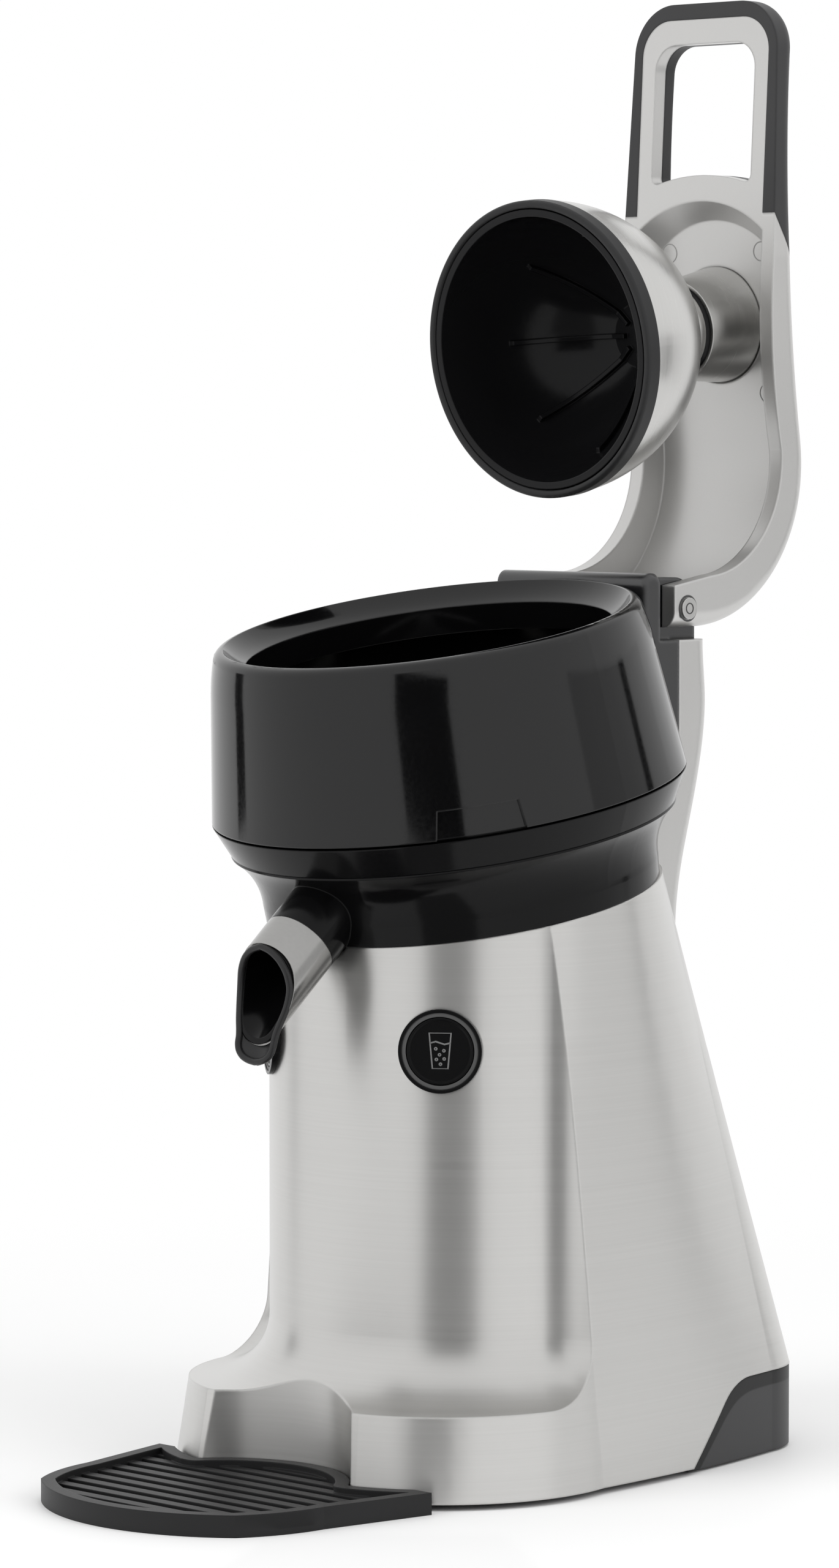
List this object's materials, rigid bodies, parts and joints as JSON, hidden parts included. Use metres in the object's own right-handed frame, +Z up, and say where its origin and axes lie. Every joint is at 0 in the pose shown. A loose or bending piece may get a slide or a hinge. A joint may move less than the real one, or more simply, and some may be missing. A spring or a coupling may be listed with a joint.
{
  "type": "electric lever citrus press",
  "caption": "Free-standing motor-driven citrus press: leaning black bowl on a steel column, a lever arm with a ribbed press cup, a juice spout and a drip tray.",
  "frame": {"origin": "on the table, under the middle of the box round the part with the lever open", "axes": "+Z up, -Y towards the spout and the user, +X to the right of the spout seen from behind the press"},
  "size_m": [0.158, 0.2978, 0.4823],
  "materials": {
    "shell_steel": "brushed along the body",
    "dome_steel": "polished, faint turned grain",
    "turned_steel": "turned",
    "spout_steel": "bright",
    "arm_silver": "satin silver",
    "spine_silver": "satin silver",
    "bowl_black": "gloss",
    "collar_black": "gloss",
    "hinge_black": "satin",
    "liner_black": "gloss",
    "ball_black": "satin",
    "heel_grey": "matte",
    "tray_grey": "matte",
    "grip_grey": "soft touch",
    "rim_rubber": "matte",
    "foot_rubber": "matte",
    "strainer_steel": "pressed sheet",
    "reamer_black": "gloss",
    "button_black": "gloss",
    "button_grey": "frosted",
    "plate_black": "moulded",
    "inner_plastic": "moulded",
    "board_green": "board",
    "machine_steel": "machined",
    "bush_brass": "plain"
  },
  "bodies": {
    "stand": {"body_shell": "shell_steel", "spout_sleeve": "spout_steel", "rear_spine": "spine_silver", "bowl_cover": "bowl_black", "neck_collar": "collar_black", "bowl_ring": "collar_black", "spout_lip": "collar_black", "hinge_cover": "hinge_black", "rear_heel": "heel_grey", "rubber_feet": "foot_rubber", "shaft_seal": "foot_rubber", "cord_inlet": "foot_rubber", "strainer": "strainer_steel", "button_bezel_right": "button_black", "button_bezel_left": "button_black", "button_light_right": "button_grey", "button_light_left": "button_grey", "base_plate": "plate_black", "drive_deck": "inner_plastic", "gear_case": "inner_plastic", "button_switch_right": "inner_plastic", "button_switch_left": "inner_plastic", "control_board": "board_green", "upper_bearing": "machine_steel", "lower_bearing": "machine_steel", "deck_screws": "machine_steel", "motor_screws": "machine_steel", "base_screws": "machine_steel", "motor_can": "machine_steel", "motor_cap": "machine_steel", "stator": "machine_steel", "hinge_bushes": "bush_brass"},
    "lever": {"lever_arm": "arm_silver", "handle_grip": "grip_grey", "cup_socket": "turned_steel", "socket_screw": "machine_steel", "hinge_pin": "machine_steel"},
    "cup": {"press_dome": "dome_steel", "cup_liner": "liner_black", "cup_rim": "rim_rubber", "cup_neck": "turned_steel", "cup_ball": "ball_black"},
    "reamer_drive": {"reamer": "reamer_black", "drive_shaft": "machine_steel", "drive_gear": "inner_plastic"},
    "motor_drive": {"rotor": "machine_steel", "motor_pinion": "machine_steel"},
    "button_right": {"button_cap_right": "button_black"},
    "button_left": {"button_cap_left": "button_black"},
    "tray": {"drip_tray": "tray_grey"}
  },
  "joints": [
    {"name": "arm_swing", "type": "hinge", "parent": "stand", "child": "lever", "pos_m": [0, 0.0876, 0.2787], "axis": [1, 0, 0], "range_deg": [0, 95]},
    {"name": "cup_tilt", "type": "hinge", "parent": "lever", "child": "cup", "pos_m": [0, 0.12364, 0.37161], "axis": [1, 0, 0], "range_deg": [-4, 4]},
    {"name": "reamer_spin", "type": "hinge", "parent": "stand", "child": "reamer_drive", "pos_m": [0, 0.0085, 0.2203], "axis": [0, -0.1891, 0.982], "continuous": true},
    {"name": "motor_spin", "type": "hinge", "parent": "stand", "child": "motor_drive", "pos_m": [0, 0.03207, 0.22484], "axis": [0, -0.1891, 0.982], "continuous": true},
    {"name": "button_right_press", "type": "slide", "parent": "stand", "child": "button_right", "axis": [-0.6018, 0.7986, 0], "range_m": [0, 0.0016], "stiffness_N_per_m": 1200},
    {"name": "button_left_press", "type": "slide", "parent": "stand", "child": "button_left", "axis": [0.6018, 0.7986, 0], "range_m": [0, 0.0016], "stiffness_N_per_m": 1200},
    {"name": "tray_slide", "type": "slide", "parent": "stand", "child": "tray", "axis": [0, -1, 0], "range_m": [0, 0.08]}
  ],
  "couplings": [
    {"joint": "motor_spin", "follows": "reamer_spin", "ratio": -3}
  ]
}
